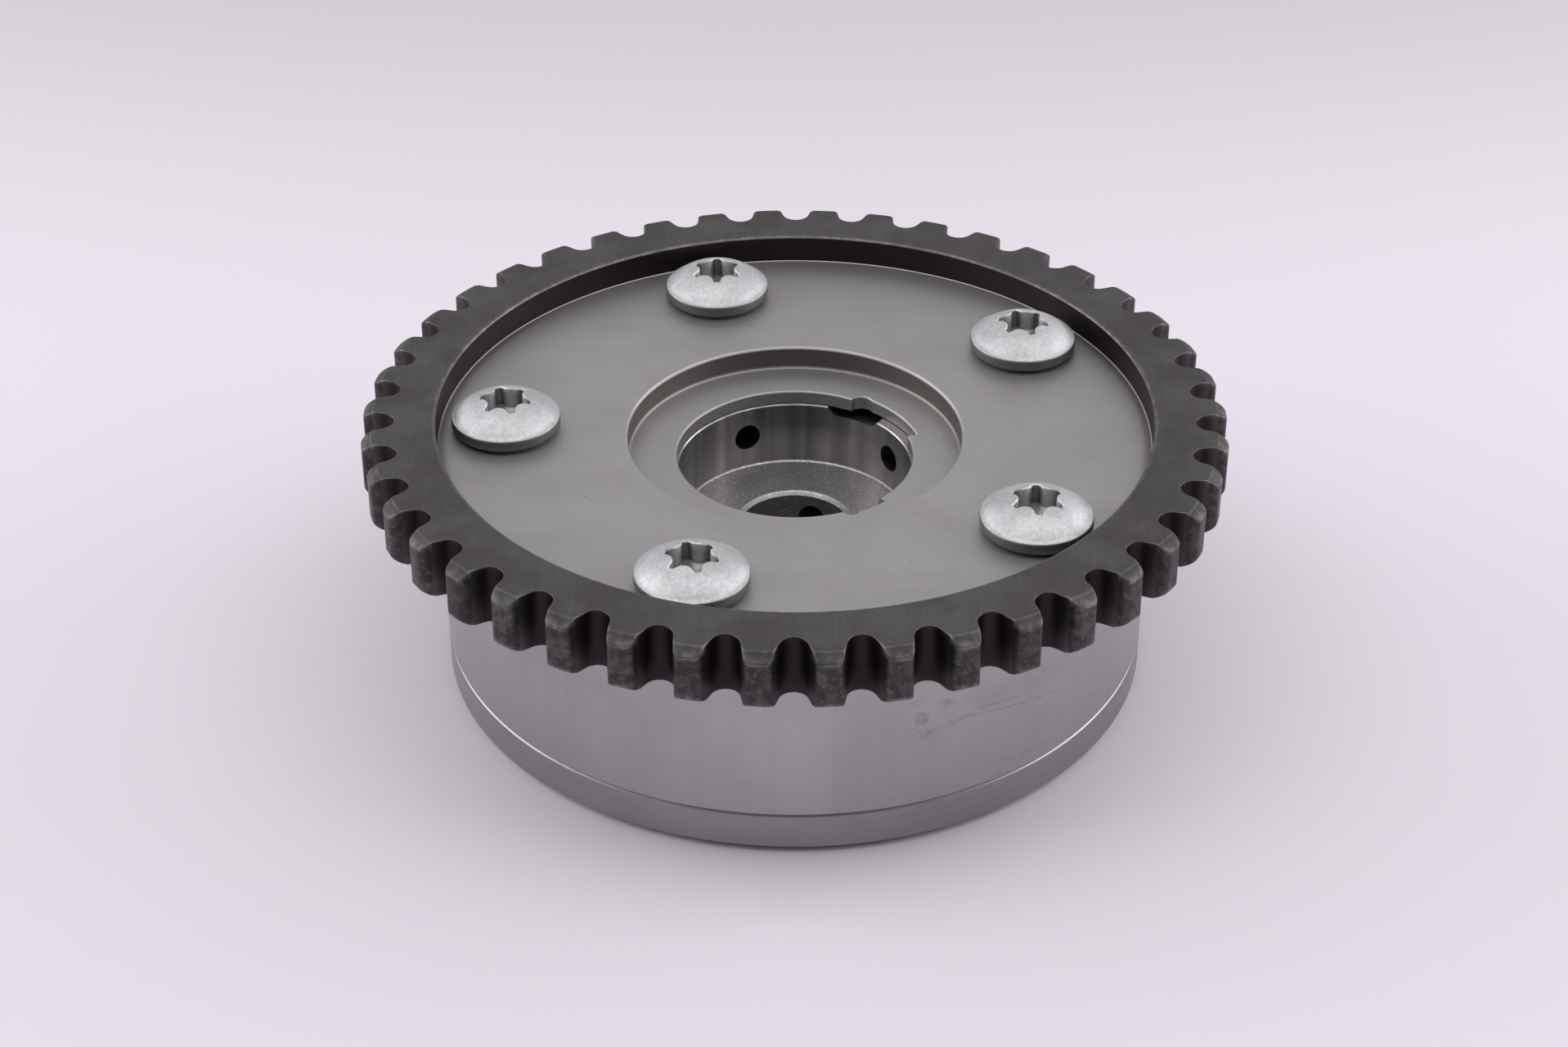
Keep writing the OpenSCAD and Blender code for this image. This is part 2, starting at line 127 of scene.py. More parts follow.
def turned(name, section, angles=SIDES):
    """A solid turned about Z from a closed section of (radius, height) points.

    The section may be a function of the angle, and the angles a count or a list of degrees.
    """
    if isinstance(angles, int):
        angles = [360 * k / angles for k in range(angles)]
    points = []
    for degrees in angles:
        outline = section(degrees) if callable(section) else section
        points += [around(r, degrees, z) for r, z in outline]
    size = len(outline)
    faces = []
    for k in range(len(angles)):
        here = k * size
        there = (k + 1) % len(angles) * size
        for j in range(size):
            i = (j + 1) % size
            faces.append((here + j, there + j, there + i, here + i))
    return new_piece(name, points, faces)


def prism(name, outline, low, high):
    """A solid between two heights with a plain outline of (x, y) points."""
    count = len(outline)
    points = [(x, y, z) for z in (low, high) for x, y in outline]
    walls = [(k, (k + 1) % count, (k + 1) % count + count, k + count) for k in range(count)]
    caps = [tuple(reversed(range(count))), tuple(range(count, 2 * count))]
    return new_piece(name, points, walls + caps)


def rod(name, radius, low, high, place):
    """A straight cylinder along its own Z, set at a place in millimetres."""
    circle = [around(radius, 360 * k / HOLE_SIDES) for k in range(HOLE_SIDES)]
    piece = prism(name, [(p.x, p.y) for p in circle], low, high)
    shift = Matrix.Translation(place.to_translation() * MM)
    piece.data.transform(shift @ place.to_3x3().to_4x4())
    return piece


def carve(piece, tools, operation="DIFFERENCE"):
    """Cuts the tools out of the piece, or joins them to it, and removes the tools."""
    for tool in tools:
        step = piece.modifiers.new("Carve", "BOOLEAN")
        step.solver = "EXACT"
        step.operation = operation
        step.object = tool
    view = bpy.context.evaluated_depsgraph_get()
    mesh = bpy.data.meshes.new_from_object(piece.evaluated_get(view))
    piece.modifiers.clear()
    piece.data = mesh
    for tool in tools:
        bpy.data.objects.remove(tool)
    shell = bmesh.new()
    shell.from_mesh(mesh)
    bmesh.ops.remove_doubles(shell, verts=shell.verts, dist=2e-7)
    bmesh.ops.dissolve_degenerate(shell, edges=shell.edges, dist=2e-7)
    shell.to_mesh(mesh)
    shell.free()


def dress(piece, material, body, node):
    """Shades the piece smooth by its faces' areas, gives it its material, sets it on its body and hides
    its CAD node.
    """
    piece.data.materials.clear()
    piece.data.materials.append(material)
    piece.data.shade_smooth()
    piece.data.set_sharp_from_angle(angle=math.radians(38))
    even = piece.modifiers.new("Even shading", "WEIGHTED_NORMAL")
    even.keep_sharp = True
    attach(piece, body)
    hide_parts(node)


class Field:
    """An output of a shader node; sums on it add Math nodes to the same material."""

    def __init__(self, socket):
        self.socket = socket
        self.tree = socket.id_data

    def node(self, kind, settings=None, inputs=None, output=0):
        """Any other node: its settings are set first, then the values or links of its sockets."""
        added = self.tree.nodes.new(kind)
        for name, value in (settings or {}).items():
            setattr(added, name, value)
        for name, value in (inputs or {}).items():
            if isinstance(value, Field):
                self.tree.links.new(value.socket, added.inputs[name])
            else:
                added.inputs[name].default_value = value
        return Field(added.outputs[output])

    def math(self, operation, first, *others):
        """A Math node on the values in that order."""
        return self.node("ShaderNodeMath", {"operation": operation}, dict(enumerate((first, *others))))

    def __add__(self, other):
        return self.math("ADD", self, other)

    def __sub__(self, other):
        return self.math("SUBTRACT", self, other)

    def __rsub__(self, other):
        return self.math("SUBTRACT", other, self)

    def __mul__(self, other):
        return self.math("MULTIPLY", self, other)

    def __pow__(self, other):
        return self.math("POWER", self, other)

    __radd__ = __add__


def new_finish(name, metallic=1.0):
    """A Principled material, and its object coordinates in millimetres."""
    material = bpy.data.materials.new(name)
    material.use_nodes = True
    tree = material.node_tree
    tree.nodes["Principled BSDF"].inputs["Metallic"].default_value = metallic
    place = Field(tree.nodes.new("ShaderNodeTexCoord").outputs["Object"])
    place = place.node("ShaderNodeVectorMath", {"operation": "SCALE"}, {0: place, "Scale": 1 / MM})
    return material, place


def coat(material, colour, roughness, height, depth):
    """Links a finish's colour and roughness to its shader, and a relief of that depth in millimetres."""
    tree = material.node_tree
    sockets = tree.nodes["Principled BSDF"].inputs
    tree.links.new(colour.socket, sockets["Base Color"])
    tree.links.new(roughness.socket, sockets["Roughness"])
    bump = height.node("ShaderNodeBump", inputs={
        "Strength": 1.0, "Distance": depth * MM, "Height": height})
    tree.links.new(bump.socket, sockets["Normal"])


def split(place):
    """The three coordinates of a place."""
    parts = place.node("ShaderNodeSeparateXYZ", inputs={0: place})
    return [Field(socket) for socket in parts.socket.node.outputs]


def stretched(place, x, y, z):
    """A place with each coordinate multiplied, which draws a pattern out along the small ones."""
    return place.node("ShaderNodeVectorMath", {"operation": "MULTIPLY"}, {0: place, 1: (x, y, z)})


def noise(place, scale, detail=2.0, rough=0.5):
    """Soft noise from 0 to 1, with about so many lumps in a millimetre."""
    return place.node("ShaderNodeTexNoise", inputs={
        "Vector": place, "Scale": scale, "Detail": detail, "Roughness": rough})


def ease(value, low, high):
    """0 below the low value, 1 above the high one and smooth between; the ends may be swapped."""
    return value.node("ShaderNodeMapRange", {"interpolation_type": "SMOOTHSTEP"}, {
        "Value": value, "From Min": low, "From Max": high})


def tint(share, plain, other):
    """The plain colour, with a share of the other; each is a colour or a link to one."""
    ends = {0: share}
    for index, colour in ((6, plain), (7, other)):
        ends[index] = colour if isinstance(colour, Field) else (*colour, 1.0)
    return share.node("ShaderNodeMix", {"data_type": "RGBA"}, ends, output=2)


def ground_steel(name, plain, stained, rough, grain, marked=None):
    """Satin steel off a grinder: clouds, fine grain and a few specks, then the piece's own marks."""
    material, place = new_finish(name)
    clouds = noise(place, 0.06, 4.0, 0.6)
    streaks = noise(stretched(place, *grain), 1.0, 3.0, 0.6)
    specks = ease(noise(place, 0.75, 2.0), 0.74, 0.79)
    colour = tint(ease(clouds, 0.35, 0.7) * 0.6 + ease(streaks, 0.3, 0.7) * 0.2, plain, stained)
    colour = tint(specks * 0.35, colour, (0.12, 0.1, 0.1))
    if marked:
        colour = marked(place, colour)
    coat(material, colour, rough + clouds * 0.12 + streaks * 0.06, streaks, 0.004)
    return material


rear_cover = turned("rear_cover_ground", rounded([
    (rear_hole_r + mouth_edge, 0), (body_r - base_edge, 0), (body_r, base_edge),
    (body_r, rear_t - seam_edge), (body_r - seam_edge, rear_t),
    (rear_hole_r + mouth_edge, rear_t), (rear_hole_r, rear_t - mouth_edge), (rear_hole_r, mouth_edge),
], soft_edge))

thread = []
for turn in range(-1, math.ceil(rear_t / thread_pitch) + 1):
    thread += [(screw_r, turn * thread_pitch), (screw_r + thread_depth, (turn + 0.5) * thread_pitch)]
thread += [(0, thread[-1][1]), (0, thread[0][1])]
screw_angles = [screw_start + 360 * k / screw_count for k in range(screw_count)]
screw_spots = [around(screw_circle_r, angle) for angle in screw_angles]
rear_holes = []
for spot in screw_spots:
    hole = turned("rear_hole", thread, HOLE_SIDES)
    hole.data.transform(Matrix.Translation(spot * MM))
    rear_holes.append(hole)
pin_spot = around(pin_circle_r, pin_angle)
pin_place = Matrix.Translation(pin_spot)
rear_holes.append(rod("bush_pocket", bush_r, rear_t - bush_depth, rear_t + 1, pin_place))
groove_arc = [pin_angle - groove_deg * k / groove_steps for k in range(groove_steps + 1)]
groove = [around(pin_circle_r - groove_w / 2, a) for a in groove_arc]
groove += [around(pin_circle_r + groove_w / 2, a) for a in reversed(groove_arc)]
rear_holes.append(prism("oil_groove", [(p.x, p.y) for p in groove], rear_t - groove_depth, rear_t + 1))
carve(rear_cover, rear_holes)
rear_steel = ground_steel(
    "Ground rear cover", (0.36, 0.345, 0.36), (0.29, 0.275, 0.285), 0.3, (0.02, 0.02, 1.2))
dress(rear_cover, rear_steel, "housing", "rear_cover")


# Stator
# A sintered steel ring, ground on the outside. Five webs reach in to the rotor's hub and part the
# oil chambers, and the cover screws pass down through the webs.

stator_low, stator_high = (corner.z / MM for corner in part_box("stator"))
wall_t = 4
chamber_r = body_r - wall_t
hub_r = 27.5
web_half = 10.6
web_gap = 0.05
screw_hole_r = 4.3
slant = 0.8


def web_outline(angle):
    """The outline of one web, from inside the wall to the hub, with slanted corners."""
    inner = hub_r + web_gap
    corner = math.degrees(slant / inner)
    root = math.degrees(slant / chamber_r)
    side = [
        (chamber_r + 1, web_half + root), (chamber_r, web_half + root),
        (chamber_r - slant, web_half), (inner + slant, web_half), (inner, web_half - corner)]
    tip = [(inner, (web_half - corner) * k / 6) for k in range(5, -6, -1)]
    back = [(r, -a) for r, a in reversed(side)]
    return [tuple(around(r, angle + a))[:2] for r, a in side + tip + back]


stator = turned("stator_ring", rounded([
    (chamber_r, stator_low), (body_r - seam_edge, stator_low), (body_r, stator_low + seam_edge),
    (body_r, stator_high - seam_edge), (body_r - seam_edge, stator_high),
    (chamber_r, stator_high),
], soft_edge))
webs = []
web_holes = []
for angle, spot in zip(screw_angles, screw_spots):
    webs.append(prism("web", web_outline(angle), stator_low, stator_high))
    place = Matrix.Translation(spot)
    web_holes.append(rod("web_hole", screw_hole_r, stator_low - 1, stator_high + 1, place))
carve(stator, webs, "UNION")
carve(stator, web_holes)

# Spans are lengths along the wall from its front; a scratch is its start, end and two heights.
painted_reflection_band = (-2, 4.7)
stain_span = (14.5, 21.5)
stain_heights = (15.5, 21.5)
smear_span = (18, 37)
smear_heights = (17.5, 20.5)
scratches = (
    (20.5, 35.5, 17.4, 15.0), (22.5, 31, 17.9, 17.1), (22, 28, 5.9, 6.7), (27, 35.5, 8.2, 7.5))
scratch_half = 0.06


def window(value, low, high, soft):
    """1 between two values and 0 outside them, with soft ends."""
    return ease(value, low - soft, low + soft) * ease(value, high + soft, high - soft)


def wall_marks(place, colour):
    """A paler band of painted reflection at the wall's front, and right of it a brown stain, a smear and
    a few scratches.
    """
    x, y, z = split(place)
    along = y.math("ARCTAN2", x, y * -1) * body_r
    # The paler band at the wall's front is a painted reflection.
    colour = tint(window(along, *painted_reflection_band, 0.5) * 0.4, colour, (0.47, 0.43, 0.445))
    blots = ease(noise(stretched(place, 1, 1, 1.6), 0.45, 4.0, 0.65), 0.48, 0.66)
    stain = window(along, *stain_span, 2) * window(z, *stain_heights, 1.5) * blots
    colour = tint(stain * 0.5, colour, (0.2, 0.183, 0.14))
    smear = window(along, *smear_span, 3) * window(z, *smear_heights, 1.2)
    smear = smear * ease(noise(place, 0.3, 3.0), 0.3, 0.6)
    colour = tint(smear * 0.4, colour, (0.34, 0.315, 0.265))
    for start, end, low, high in scratches:
        line = z - (along - start) * ((high - low) / (end - start)) - low
        scratch = window(line, -scratch_half, scratch_half, 0.08) * window(along, start, end, 1)
        scratch = scratch * ease(noise(place, 0.6), 0.35, 0.6)
        colour = tint(scratch * 0.6, colour, (0.16, 0.145, 0.15))
    return colour


stator_steel = ground_steel(
    "Ground stator", (0.42, 0.405, 0.42), (0.36, 0.345, 0.355), 0.3, (0.25, 0.25, 0.012),
    wall_marks)
dress(stator, stator_steel, "housing", "stator")


# Rotor
# A steel hub with five vanes that turns with the camshaft. Its bore is turned for the camshaft's
# end, with a floor that shows the tool's rings, and oil holes are drilled out through the hub to
# both sides of each vane.

rotor_low, rotor_high = (corner.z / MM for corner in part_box("rotor"))
vane_count = screw_count
tip_gap = 0.05
vane_r = chamber_r - tip_gap
vane_half = 8
pin_vane_half = 12.4
cam_bore_r = 15
cam_depth = 8.85
cam_floor = rotor_high - cam_depth
cam_edge = 0.18
cam_foot = 0.2
bolt_hole_r = 7.1
bolt_edge = 0.5
bolt_seat_r = 12.5
bolt_seat_depth = 5
rotor_edge = 0.05
slot_r = 38.42
slot_half = 1.44
oil_r = 1.8
oil_front_z = rotor_high - 4.3
oil_rear_z = cam_floor - 3.7
oil_front_start = 11
oil_rear_start = 4.5
oil_front_lead = 15.3
oil_pin_lead = 24.6
oil_rear_lag = 12.6
pin_bore_r = 4.2
nose_bore_r = 3.15
pin_step_z = 9.3
vent_depth = 1.05
vent_half = 2.85


def vane_outline(angle, half):
    """The outline of one vane from inside the hub to its tip, with the slot for its seal."""
    tip = math.degrees(slant / vane_r)
    root = math.degrees(slant / hub_r)
    mouth = math.degrees(math.asin(slot_half / vane_r))
    floor = math.degrees(math.asin(slot_half / slot_r))
    crown = [(vane_r, half - tip + (mouth - half + tip) * k / 6) for k in range(7)]
    side = [(hub_r - 1, half + root), (hub_r, half + root)]
    side += [(hub_r + slant, half), (vane_r - slant, half)]
    side += crown + [(slot_r / math.cos(math.radians(floor)), floor)]
    back = [(r, -a) for r, a in reversed(side)]
    return [tuple(around(r, angle + a))[:2] for r, a in side + back]


rotor = turned("vane_rotor_body", rounded([
    (bolt_hole_r, rotor_low + bolt_seat_depth), (bolt_seat_r, rotor_low + bolt_seat_depth),
    (bolt_seat_r, rotor_low), (hub_r, rotor_low), (hub_r, rotor_high),
    (cam_bore_r + cam_edge, rotor_high), (cam_bore_r, rotor_high - cam_edge),
    (cam_bore_r, cam_floor + cam_foot), (cam_bore_r - cam_foot, cam_floor),
    (bolt_hole_r + bolt_edge, cam_floor), (bolt_hole_r, cam_floor - bolt_edge),
], rotor_edge))
vanes = []
oil_holes = []
for k in range(vane_count):
    angle = pin_angle + 360 * k / vane_count
    half = vane_half if k else pin_vane_half
    lead = oil_front_lead if k else oil_pin_lead
    vanes.append(prism("vane", vane_outline(angle, half), rotor_low, rotor_high))
    front_hole = (-lead, oil_front_z, oil_front_start)
    rear_hole = (oil_rear_lag, oil_rear_z, oil_rear_start)
    for side, height, start in (front_hole, rear_hole):
        out = Matrix.Rotation(math.radians(angle + side), 4, "Z")
        out = out @ Matrix.Rotation(math.pi / 2, 4, "Y")
        out.translation = (0, 0, height)
        oil_holes.append(rod("oil_hole", oil_r, start, hub_r + 1, out))
carve(rotor, vanes, "UNION")
carve(rotor, oil_holes)

# The vent is a groove with slanted sides, laid from the camshaft bore to the pin's bore.
vent_start = 10
vent_top = vent_half + vent_depth + 1
vent = prism("vent", [
    (-vent_half, 0), (vent_half, 0), (vent_top, vent_depth + 1), (-vent_top, vent_depth + 1),
], vent_start, pin_circle_r)
laid = Matrix(((0, 0, 1, 0), (1, 0, 0, 0), (0, 1, 0, 0), (0, 0, 0, 1)))
turn = Matrix.Rotation(math.radians(pin_angle), 4, "Z") @ laid
vent.data.transform(Matrix.Translation((0, 0, (rotor_high - vent_depth) * MM)) @ turn)
carve(rotor, [rod("nose_bore", nose_bore_r, rotor_low - 1, rotor_high, pin_place)])
carve(rotor, [rod("pin_bore", pin_bore_r, pin_step_z, rotor_high + 1, pin_place)])
carve(rotor, [vent])

rotor_steel, place = new_finish("Turned rotor")
x, y, z = split(place)
reach = (x * x + y * y) ** 0.5
reach_and_height = reach.node("ShaderNodeCombineXYZ", inputs={0: reach, 1: z})
rings = noise(stretched(reach_and_height, 6.0, 6.0, 0), 1.0, 2.0)
clouds = noise(place, 0.12, 3.0)
# The bore wall is lighter and darker in soft vertical bands.
wall_bands = noise(stretched(place, 0.38, 0.38, 0.02), 1.0, 1.5, 0.5)
floor = ease(z, cam_floor + 0.45, cam_floor + 0.15)
# The bore's foot and the bolt hole's chamfer get thin painted highlights.
edges = window(z, cam_floor + 0.02, cam_floor + cam_foot, 0.04)
edges = edges + window(z, cam_floor - bolt_edge, cam_floor, 0.04)
# Bright specks on the bore's floor are painted glints of light.
painted_glints = ease(noise(place, 2.4, 2.0), 0.52, 0.7) * floor
bored = ease(reach, cam_bore_r + 0.6, cam_bore_r + 0.3)
colour = tint(bored * ease(wall_bands, 0.35, 0.65), (0.46, 0.442, 0.46), (0.27, 0.259, 0.27))
colour = tint(0.8 - bored * 0.8, colour, (0.4, 0.385, 0.4))
colour = tint(window(z, rotor_high - 3.6, rotor_high - 2.5, 0.3) * 0.3, colour, (0.25, 0.235, 0.25))
colour = tint(floor, colour, (0.47, 0.452, 0.468))
colour = tint(ease(rings, 0.3, 0.7) * 0.4, colour, (0.25, 0.24, 0.247))
colour = tint(painted_glints * 0.5 + edges * 0.1, colour, (0.9, 0.88, 0.89))
coat(rotor_steel, colour, 0.22 + clouds * 0.14 + floor * 0.18, rings, 0.012)
dress(rotor, rotor_steel, "vane_rotor", "rotor")


# Seals, springs and lock pin
# What lies inside: plastic strips in the vane tips on bowed leaf springs, and the hard lock pin in
# its bore with a coil spring, a vented cap and a bush in the rear cover. The coil is a wire along
# a path.


def plain_finish(name, colour, worn, rough, metallic):
    """The finish of a small inner piece: fine lumps in its colour and its roughness."""
    material, place = new_finish(name, metallic)
    lumps = noise(place, 0.8, 3.0)
    coat(material, tint(lumps * 0.7, colour, worn), rough + lumps * 0.15, lumps, 0.003)
    return material


seal_plastic = plain_finish("Seal strip", (0.05, 0.042, 0.036), (0.08, 0.068, 0.056), 0.45, 0.0)
spring_steel = plain_finish("Spring wire", (0.5, 0.49, 0.48), (0.38, 0.37, 0.37), 0.22, 1.0)
pin_steel = plain_finish("Hard pin", (0.42, 0.41, 0.42), (0.34, 0.33, 0.34), 0.2, 1.0)
inner_finishes = {
    "tip_seal": seal_plastic, "seal_spring": spring_steel,
    "lock_pin": pin_steel, "lock_cap": pin_steel, "lock_bush": pin_steel}
for name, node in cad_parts.items():
    for family, material in inner_finishes.items():
        if name.startswith(family):
            node.material_slots[0].material = material

spring_low, spring_high = (corner.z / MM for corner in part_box("lock_spring"))
spring_turns = 6
spring_steps = 24
wire_r = 0.35
wire_sides = 12
coil_r = 2.4
close_rise = 0.77


def coil_height(turn):
    """The height of the wire's middle after so many turns; the end turns lie close together."""
    low = spring_low + wire_r
    high = spring_high - wire_r
    open_rise = (high - low - 2 * close_rise) / (spring_turns - 2)
    if turn < 1:
        return low + close_rise * turn
    if turn > spring_turns - 1:
        return high - close_rise * (spring_turns - turn)
    return low + close_rise + open_rise * (turn - 1)


def node_tree(name, sockets):
    """A geometry node group with named inputs; it gives the tree and the identifier of each input."""
    tree = bpy.data.node_groups.new(name, "GeometryNodeTree")
    tree.interface.new_socket("Geometry", in_out="INPUT", socket_type="NodeSocketGeometry")
    identifiers = {}
    for label, kind in sockets.items():
        socket = tree.interface.new_socket(label, in_out="INPUT", socket_type=kind)
        identifiers[label] = socket.identifier
    tree.interface.new_socket("Geometry", in_out="OUTPUT", socket_type="NodeSocketGeometry")
    return tree, identifiers


def add_node(tree, kind, inputs=None, **settings):
    """A node of a geometry tree, with its settings and the values or links of its inputs."""
    node = tree.nodes.new(kind)
    for name, value in settings.items():
        setattr(node, name, value)
    for name, value in (inputs or {}).items():
        if isinstance(value, bpy.types.NodeSocket):
            tree.links.new(value, node.inputs[name])
        else:
            node.inputs[name].default_value = value
    return node


def grown(name, piece, tree, identifiers, values):
    """Runs the tree on the piece with those inputs, and gives the result as a plain mesh object."""
    modifier = piece.modifiers.new("Grow", "NODES")
    modifier.node_group = tree
    for label, value in values.items():
        modifier[identifiers[label]] = value
    view = bpy.context.evaluated_depsgraph_get()
    mesh = bpy.data.meshes.new_from_object(piece.evaluated_get(view))
    result = bpy.data.objects.new(name, mesh)
    bpy.context.scene.collection.objects.link(result)
    piece.modifiers.remove(modifier)
    bpy.data.objects.remove(piece)
    return result


spring_turn_list = [k / spring_steps for k in range(spring_turns * spring_steps + 1)]
spring_path = [
    pin_spot + around(coil_r, pin_angle + 360 * turn, coil_height(turn)) for turn in spring_turn_list]
spring_links = [(k, k + 1) for k in range(len(spring_path) - 1)]
mesh = bpy.data.meshes.new("spring_path")
mesh.from_pydata([point * MM for point in spring_path], spring_links, [])
path = bpy.data.objects.new("spring_path", mesh)
bpy.context.scene.collection.objects.link(path)
wire_tree, wire_inputs = node_tree("Wire along a path", {
    "Wire radius": "NodeSocketFloat", "Sides": "NodeSocketInt", "Finish": "NodeSocketMaterial"})
given = wire_tree.nodes.new("NodeGroupInput").outputs
line = add_node(wire_tree, "GeometryNodeMeshToCurve", {"Mesh": given["Geometry"]})
ring = add_node(wire_tree, "GeometryNodeCurvePrimitiveCircle", {
    "Resolution": given["Sides"], "Radius": given["Wire radius"]})
wire = add_node(wire_tree, "GeometryNodeCurveToMesh", {
    "Curve": line.outputs[0], "Profile Curve": ring.outputs[0], "Fill Caps": True})
real = add_node(wire_tree, "GeometryNodeRealizeInstances", {0: wire.outputs[0]})
painted = add_node(wire_tree, "GeometryNodeSetMaterial", {
    "Geometry": real.outputs[0], "Material": given["Finish"]})
ended = wire_tree.nodes.new("NodeGroupOutput")
wire_tree.links.new(painted.outputs[0], ended.inputs[0])
lock_coil = grown("lock_coil", path, wire_tree, wire_inputs, {
    "Wire radius": wire_r * MM, "Sides": wire_sides, "Finish": spring_steel})
shell = bmesh.new()
shell.from_mesh(lock_coil.data)
bmesh.ops.recalc_face_normals(shell, faces=shell.faces)
shell.to_mesh(lock_coil.data)
shell.free()
dress(lock_coil, spring_steel, "vane_rotor", "lock_spring")
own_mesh(lock_coil)


# Front cover
# A ground steel plate with a recess for the camshaft's shoulder. Two shallow drain pockets are
# milled in its bore, and the chain ring sits on its rim, where pressing it on has turned up a thin
# bead, which is brightened by a painted highlight.

front_low, front_high = (corner.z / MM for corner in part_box("front_cover"))
bead = 0.13
recess_r = 21.4
recess_foot = 0.22
recess_z = front_high - 3.15
cover_bore_r = 15.2
pocket_bulge = 0.25
# A pocket is the angle of its square end, the angle it runs through from there, and its depth.
pockets = ((15.3, 45, 1.25), (314.3, -21, 0.9))
pocket_steps = 8
step_deg = 0.02


def pocket_parts(span, depth):
    """The angle of a pocket's arc, up to the middle of its round end, and the round end's radius."""
    round_r = depth + pocket_bulge
    arc = abs(span) - math.degrees(math.asin(round_r / cover_bore_r))
    return arc, round_r


def bore_radius(degrees):
    """The radius of the front cover's bore at an angle, out to a pocket's floor where there is one."""
    reach = cover_bore_r
    for square_end, span, depth in pockets:
        arc, round_r = pocket_parts(span, depth)
        along = ((degrees - square_end) * math.copysign(1, span) + 180) % 360 - 180
        if 0 <= along <= arc:
            reach = max(reach, cover_bore_r + depth)
        aside = cover_bore_r * math.sin(math.radians(along - arc))
        if abs(aside) < round_r and abs(along - arc) < 90:
            middle = cover_bore_r * math.cos(math.radians(along - arc))
            reach = max(reach, middle + math.sqrt(round_r ** 2 - aside ** 2))
    return reach


def front_section(degrees):
    """The front cover's section at an angle."""
    bore = bore_radius(degrees)
    return rounded([
        (bore, front_low), (body_r - seam_edge, front_low), (body_r, front_low + seam_edge),
        (body_r, front_high + bead), (body_r - bead, front_high),
        (recess_r + mouth_edge, front_high), (recess_r, front_high - mouth_edge),
        (recess_r, recess_z + recess_foot), (recess_r - recess_foot, recess_z),
        (bore + seam_edge, recess_z), (bore, recess_z - seam_edge),
    ], soft_edge)


front_angles = [360 * k / SIDES for k in range(SIDES)]
for square_end, span, depth in pockets:
    front_angles += [square_end % 360, (square_end - math.copysign(step_deg, span)) % 360]
    arc, round_r = pocket_parts(span, depth)
    middle = square_end + math.copysign(arc, span)
    half = math.degrees(math.asin(round_r / cover_bore_r))
    steps = range(-pocket_steps, pocket_steps + 1)
    front_angles += [(middle + half * k / pocket_steps) % 360 for k in steps]
front_cover = turned("front_cover_ground", front_section, sorted(set(front_angles)))
carve(front_cover, [
    rod("cover_hole", screw_hole_r, front_low - 1, front_high + 1, Matrix.Translation(spot))
    for spot in screw_spots])


def cover_marks(place, colour):
    """Brown mottling, painted shade on the recess wall and on the bore below the recess's floor,
    a straw line of painted reflection at the wall's foot, and a painted highlight on the bead.

    The cover is darker and browner beside the ring at its left and right.
    """
    x, y, z = split(place)
    reach = (x * x + y * y) ** 0.5
    stains = ease(noise(place, 0.13, 3.0, 0.6), 0.52, 0.75)
    # Painted shade darkens the recess's wall.
    wall = window(reach, recess_r - 0.2, recess_r + 0.1, 0.08) * ease(z, recess_z + 0.2, recess_z + 0.5)
    # A straw line of painted warm reflection runs along the recess wall's foot.
    painted_foot_reflection = ease(reach, recess_r - recess_foot - 0.15, recess_r - recess_foot + 0.05)
    painted_foot_reflection = painted_foot_reflection * ease(z, recess_z + 0.5, recess_z + 0.2)
    # Painted shade darkens all of the cover below the recess's floor, in its bore.
    painted_bore_shade = ease(z, recess_z + 0.03, recess_z - 0.2)
    # The bead on the rim is brightened by a painted highlight.
    painted_bead_highlight = ease(reach, body_r - bead - 0.1, body_r - bead + 0.05)
    # The cover is darker and browner beside the ring at its left and right.
    tone_share = ease(reach, body_r - 1.5, body_r - 0.4) * ease(x * x, 700, 1500)
    colour = tint(stains * 0.3, colour, (0.4, 0.365, 0.34))
    colour = tint(wall * 0.9, colour, (0.125, 0.111, 0.1))
    colour = tint(painted_foot_reflection * 0.8, colour, (0.27, 0.25, 0.215))
    colour = tint(painted_bore_shade * 0.5, colour, (0.3, 0.285, 0.29))
    colour = tint(tone_share * 0.55, colour, (0.17, 0.145, 0.12))
    return tint(painted_bead_highlight * 0.9, colour, (0.45, 0.41, 0.335))


front_steel = ground_steel(
    "Ground front cover", (0.48, 0.465, 0.485), (0.41, 0.395, 0.41), 0.44, (0.03, 0.5, 0.4),
    cover_marks)
dress(front_cover, front_steel, "housing", "front_cover")


# Cover screws
# Five domed screws with six-lobe recesses, in a matte silver zinc-flake coat. They clamp the front
# cover and the stator to the rear cover, and each stopped with its recess at another angle.

head_r = 7
head_foot = 0.75
head_edge = 1.2
head_dome = 2.8
head_rim = 0.2
screw_end_gap = 2.2
screw_len = front_high - screw_end_gap
plain_shank = 3
drive_r = 3.375
drive_depth = 3.3
scallop_r = 0.213 * 2 * drive_r
scallop_x = 0.356 * 2 * drive_r + scallop_r
drive_turns = (43, 14, 21, 4, 37)
lobe_steps = 120
dome_steps = 9


def lobe_radius(degrees):
    """The radius of the six-lobe recess at an angle; a scallop is centred on 0."""
    aside = math.radians((degrees + 30) % 60 - 30)
    square = scallop_r ** 2 - (scallop_x * math.sin(aside)) ** 2
    if square <= 0:
        return drive_r
    return min(drive_r, scallop_x * math.cos(aside) - math.sqrt(square))


dome_r = head_r - head_rim
ball_r = (dome_r ** 2 + head_dome ** 2) / 2 / head_dome
dome_z = head_foot + head_edge
head_top = dome_z + head_dome


def dome_height(radius):
    """The height of the head's dome above the cover at a radius."""
    return head_top - ball_r + math.sqrt(ball_r ** 2 - radius ** 2)


